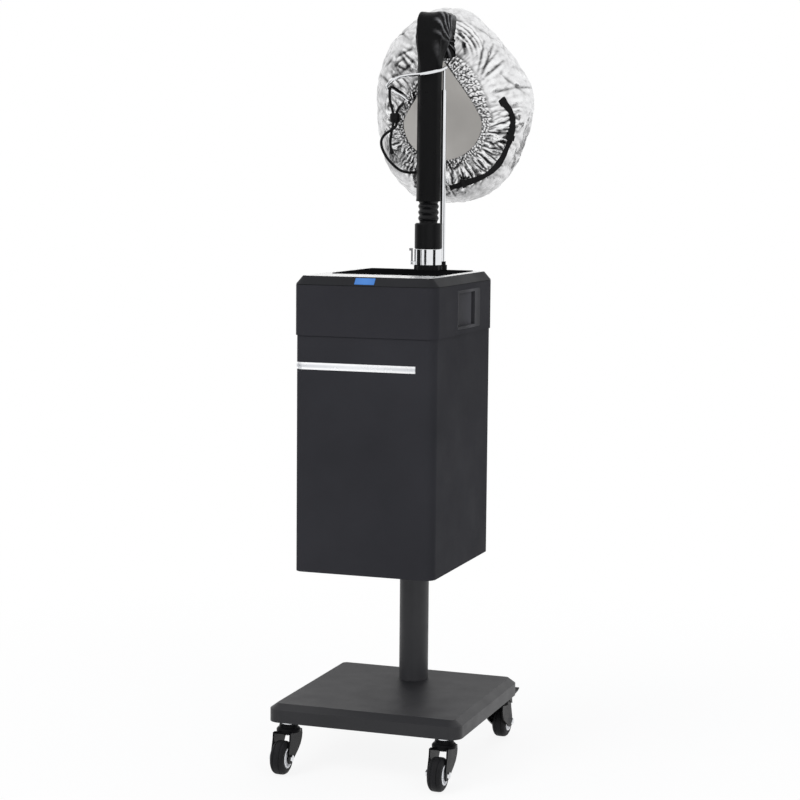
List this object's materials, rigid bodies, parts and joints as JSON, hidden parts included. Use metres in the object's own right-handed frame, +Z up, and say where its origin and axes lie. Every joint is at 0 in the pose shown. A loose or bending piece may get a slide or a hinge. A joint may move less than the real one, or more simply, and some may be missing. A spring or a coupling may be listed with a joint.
{
  "type": "hair steamer",
  "caption": "Floor-standing hair steamer: wheeled base, post, box cabinet with tank and boiler, swivelling hose and mast, foil bonnet on a lifting rod.",
  "frame": {"origin": "on the floor, midway between the four caster stems", "axes": "+Z up, the cabinet's front faces -Y, +X to the right of someone facing that front from -Y"},
  "size_m": [0.332, 0.5038, 1.2589],
  "materials": {
    "body_grey": "fine grained",
    "base_grey": "fine grained",
    "post_paint": "satin",
    "deck_silver": "satin",
    "gloss_black": "glossy",
    "black_plastic": "matt",
    "steel": "brushed",
    "chrome": "polished",
    "tyre": "matt",
    "fork_black": "satin",
    "display_blue": "glossy",
    "board_green": "lacquered",
    "switch_red": "glossy",
    "tank_clear": "milky",
    "cap_blue": "glossy",
    "boiler_steel": "satin",
    "copper": "dull",
    "hose_black": "matt",
    "foil": "metallised",
    "cord_black": "braided"
  },
  "bodies": {
    "cabinet": {"base_cover": "base_grey", "base_plate": "steel", "base_bolts": "steel", "post": "post_paint", "caster_stems": "chrome", "chassis_floor": "steel", "body_shell": "body_grey", "top_band": "body_grey", "lid": "body_grey", "deck_rim": "deck_silver", "outlet_plate": "gloss_black", "flap_pin": "chrome", "front_strip": "deck_silver", "side_grips": "black_plastic", "display_window": "display_blue", "control_board": "board_green", "rear_panel": "body_grey", "cabinet_screws": "steel", "mains_inlet": "black_plastic", "water_tank": "tank_clear", "tank_shelf": "steel", "feed_pump": "black_plastic", "feed_pipes": "tank_clear", "boiler": "boiler_steel", "heating_element": "copper", "steam_pipe": "boiler_steel"},
    "caster_front_left": {"fork_front_left": "fork_black", "axle_front_left": "chrome"},
    "wheel_front_left": {"wheel_front_left": "tyre"},
    "caster_front_right": {"fork_front_right": "fork_black", "axle_front_right": "chrome"},
    "wheel_front_right": {"wheel_front_right": "tyre"},
    "caster_rear_left": {"fork_rear_left": "fork_black", "axle_rear_left": "chrome"},
    "wheel_rear_left": {"wheel_rear_left": "tyre"},
    "caster_rear_right": {"fork_rear_right": "fork_black", "axle_rear_right": "chrome"},
    "wheel_rear_right": {"wheel_rear_right": "tyre"},
    "pedal_left": {"brake_pedal_left": "black_plastic"},
    "pedal_right": {"brake_pedal_right": "black_plastic"},
    "flap": {"fill_flap": "gloss_black"},
    "cap": {"tank_cap": "cap_blue"},
    "key": {"start_key": "chrome"},
    "rocker": {"power_rocker": "switch_red"},
    "turret": {"swivel_ring": "black_plastic", "outlet_socket": "chrome", "hose_cuff": "black_plastic", "ribbed_hose": "hose_black", "mast_tube": "chrome"},
    "latch": {"latch_lever": "chrome"},
    "lift": {"mast_rod": "chrome", "sleeve": "hose_black", "bonnet": "foil", "drawcord": "cord_black", "hang_cord": "cord_black", "cord_lock": "black_plastic", "strap": "cord_black", "strap_buckles": "black_plastic"},
    "button": {"lock_button": "black_plastic"}
  },
  "joints": [
    {"name": "swivel_front_left", "type": "hinge", "parent": "cabinet", "child": "caster_front_left", "pos_m": [-0.135, -0.148, 0.063], "axis": [0, 0, 1], "continuous": true},
    {"name": "spin_front_left", "type": "hinge", "parent": "caster_front_left", "child": "wheel_front_left", "pos_m": [-0.135, -0.178, 0.02775], "axis": [1, 0, 0], "continuous": true},
    {"name": "swivel_front_right", "type": "hinge", "parent": "cabinet", "child": "caster_front_right", "pos_m": [0.135, -0.148, 0.063], "axis": [0, 0, 1], "continuous": true},
    {"name": "spin_front_right", "type": "hinge", "parent": "caster_front_right", "child": "wheel_front_right", "pos_m": [0.135, -0.178, 0.02775], "axis": [1, 0, 0], "continuous": true},
    {"name": "swivel_rear_left", "type": "hinge", "parent": "cabinet", "child": "caster_rear_left", "pos_m": [-0.135, 0.148, 0.063], "axis": [0, 0, 1], "continuous": true},
    {"name": "spin_rear_left", "type": "hinge", "parent": "caster_rear_left", "child": "wheel_rear_left", "pos_m": [-0.135, 0.178, 0.02775], "axis": [1, 0, 0], "continuous": true},
    {"name": "swivel_rear_right", "type": "hinge", "parent": "cabinet", "child": "caster_rear_right", "pos_m": [0.135, 0.148, 0.063], "axis": [0, 0, 1], "continuous": true},
    {"name": "spin_rear_right", "type": "hinge", "parent": "caster_rear_right", "child": "wheel_rear_right", "pos_m": [0.135, 0.178, 0.02775], "axis": [1, 0, 0], "continuous": true},
    {"name": "brake_left", "type": "hinge", "parent": "caster_rear_left", "child": "pedal_left", "pos_m": [-0.135, 0.172, 0.064], "axis": [-1, 0, 0], "range_deg": [0, 12]},
    {"name": "brake_right", "type": "hinge", "parent": "caster_rear_right", "child": "pedal_right", "pos_m": [0.135, 0.172, 0.064], "axis": [-1, 0, 0], "range_deg": [0, 12]},
    {"name": "flap_hinge", "type": "hinge", "parent": "cabinet", "child": "flap", "pos_m": [0, 0.0336, 0.8141], "axis": [-1, 0, 0], "range_deg": [0, 95]},
    {"name": "cap_turn", "type": "hinge", "parent": "cabinet", "child": "cap", "pos_m": [0, -0.033, 0.776], "axis": [0, 0, 1], "range_deg": [0, 90]},
    {"name": "key_press", "type": "slide", "parent": "cabinet", "child": "key", "axis": [0, 0, -1], "range_m": [0, 0.0012], "stiffness_N_per_m": 300},
    {"name": "rocker_tilt", "type": "hinge", "parent": "cabinet", "child": "rocker", "pos_m": [-0.064, 0.13, 0.437], "axis": [-1, 0, 0], "range_deg": [0, 12]},
    {"name": "outlet_swivel", "type": "hinge", "parent": "cabinet", "child": "turret", "pos_m": [0.02, 0.086, 0.8262], "axis": [0, 0, 1], "range_deg": [-150, 150]},
    {"name": "latch_hinge", "type": "hinge", "parent": "turret", "child": "latch", "pos_m": [-0.00572, 0.07715, 0.8297], "axis": [0.3256, -0.9455, 0], "range_deg": [0, 60]},
    {"name": "mast_slide", "type": "slide", "parent": "turret", "child": "lift", "axis": [0, 0, 1], "range_m": [0, 0.15]},
    {"name": "lock_press", "type": "slide", "parent": "lift", "child": "button", "axis": [-0.3256, 0.9455, 0], "range_m": [0, 0.0025], "stiffness_N_per_m": 300}
  ]
}
